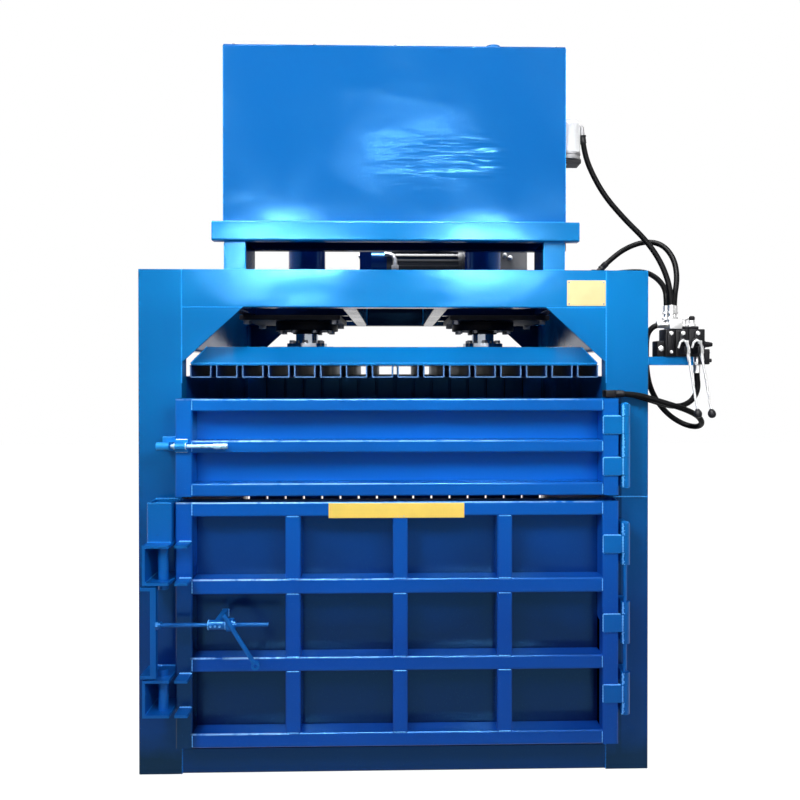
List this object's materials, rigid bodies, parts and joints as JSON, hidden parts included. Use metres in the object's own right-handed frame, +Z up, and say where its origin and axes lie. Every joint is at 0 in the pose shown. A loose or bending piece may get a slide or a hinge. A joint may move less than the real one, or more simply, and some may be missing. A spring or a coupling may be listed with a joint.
{
  "type": "recycling baler",
  "caption": "Upright twin-cylinder recycling baler: welded frame, two hinged front doors, hook lock, pressing platen, oil tank on top, hand valve and hoses.",
  "frame": {"origin": "on the floor under the middle of the welded frame", "axes": "+Z up, -Y out of the front doors, +X to the right of someone facing the doors"},
  "size_m": [2.156, 1.488, 2.872],
  "materials": {
    "frame_blue": "gloss",
    "wall_blue": "gloss",
    "tank_blue": "gloss",
    "door_blue": "gloss",
    "fitting_blue": "gloss",
    "platen_blue": "gloss",
    "channel_blue": "worn",
    "cylinder_blue": "gloss",
    "mount_black": "satin",
    "bolt_steel": "zinc plated",
    "rod_chrome": "polished",
    "motor_dark": "satin",
    "pump_iron": "cast",
    "filter_white": "gloss",
    "fitting_steel": "zinc plated",
    "lever_white": "gloss",
    "strip_yellow": "satin",
    "plate_beige": "satin",
    "hose_rubber": "smooth"
  },
  "bodies": {
    "frame": {"front_posts": "frame_blue", "rear_posts": "frame_blue", "crossbeams": "frame_blue", "gussets": "frame_blue", "side_beams": "frame_blue", "cylinder_beams": "frame_blue", "tank_stand": "frame_blue", "side_walls": "wall_blue", "rear_wall": "wall_blue", "base_beams": "wall_blue", "floor_plate": "wall_blue", "oil_tank": "tank_blue", "tank_lid": "tank_blue", "power_unit_plate": "tank_blue", "hinge_frame_knuckles": "fitting_blue", "hinge_pins": "fitting_blue", "bolt_keeper": "fitting_blue", "lock_housings": "fitting_blue", "lock_pins": "fitting_blue", "valve_bracket": "fitting_blue", "cylinder_barrels": "cylinder_blue", "coupling_housing": "cylinder_blue", "gear_pump": "cylinder_blue", "cylinder_mounts": "mount_black", "filter_bracket": "mount_black", "gland_bolts": "bolt_steel", "motor_housing": "motor_dark", "starter_box": "motor_dark", "valve_body": "pump_iron", "return_filter": "filter_white", "valve_fittings": "fitting_steel", "hose_fittings": "fitting_steel", "blank_plate": "plate_beige", "filter_hose": "hose_rubber", "pressure_hose": "hose_rubber", "return_hose": "hose_rubber", "lift_hose": "hose_rubber", "press_hose": "hose_rubber"},
    "rotor": {"motor_rotor": "rod_chrome"},
    "platen": {"platen_channels": "channel_blue", "platen_deck": "platen_blue", "platen_skirt": "platen_blue", "platen_beams": "platen_blue", "piston_rods": "rod_chrome"},
    "lower_door": {"lower_door_frame": "door_blue", "lower_door_skin": "door_blue", "lower_door_knuckles": "fitting_blue", "yellow_strip": "strip_yellow", "lock_brackets": "fitting_blue"},
    "upper_door": {"upper_door_frame": "door_blue", "upper_door_skin": "door_blue", "upper_door_knuckles": "fitting_blue", "bolt_guide": "fitting_blue"},
    "bolt": {"slide_bolt": "fitting_blue"},
    "draw_hooks": {"draw_bar": "fitting_blue"},
    "lock_handle": {"ratchet_lever": "fitting_blue"},
    "lever_1": {"valve_lever_1": "lever_white"},
    "lever_2": {"valve_lever_2": "lever_white"},
    "spool_1": {"valve_spool_1": "rod_chrome"},
    "spool_2": {"valve_spool_2": "rod_chrome"}
  },
  "joints": [
    {"name": "platen_stroke", "type": "slide", "parent": "frame", "child": "platen", "axis": [0, 0, -1], "range_m": [0, 1]},
    {"name": "lower_door_swing", "type": "hinge", "parent": "frame", "child": "lower_door", "pos_m": [0.841, -0.722, 0.577], "axis": [0, 0, 1], "range_deg": [0, 110]},
    {"name": "upper_door_swing", "type": "hinge", "parent": "frame", "child": "upper_door", "pos_m": [0.841, -0.722, 1.22], "axis": [0, 0, 1], "range_deg": [0, 110]},
    {"name": "bolt_slide", "type": "slide", "parent": "upper_door", "child": "bolt", "axis": [-1, 0, 0], "range_m": [0, 0.045]},
    {"name": "hook_draw", "type": "slide", "parent": "lower_door", "child": "draw_hooks", "axis": [1, 0, 0], "range_m": [0, 0.024]},
    {"name": "handle_swing", "type": "hinge", "parent": "lower_door", "child": "lock_handle", "pos_m": [-0.5825, -0.791, 0.6], "axis": [-1, 0, 0], "range_deg": [0, 120]},
    {"name": "rotor_spin", "type": "hinge", "parent": "frame", "child": "rotor", "pos_m": [0.14, 0.25, 2.016], "axis": [1, 0, 0], "continuous": true},
    {"name": "lever_1_tilt", "type": "hinge", "parent": "frame", "child": "lever_1", "pos_m": [1.078, -0.7, 1.572], "axis": [1, 0, 0], "range_deg": [-12, 12], "stiffness_Nm_per_rad": 20},
    {"name": "spool_1_slide", "type": "slide", "parent": "frame", "child": "spool_1", "axis": [0, 1, 0], "range_m": [-0.0066, 0.0066]},
    {"name": "lever_2_tilt", "type": "hinge", "parent": "frame", "child": "lever_2", "pos_m": [1.128, -0.7, 1.572], "axis": [1, 0, 0], "range_deg": [-12, 12], "stiffness_Nm_per_rad": 20},
    {"name": "spool_2_slide", "type": "slide", "parent": "frame", "child": "spool_2", "axis": [0, 1, 0], "range_m": [-0.0066, 0.0066]}
  ],
  "couplings": [
    {"joint": "spool_1_slide", "follows": "lever_1_tilt", "m_per_rad": -0.03},
    {"joint": "spool_2_slide", "follows": "lever_2_tilt", "m_per_rad": -0.03}
  ]
}
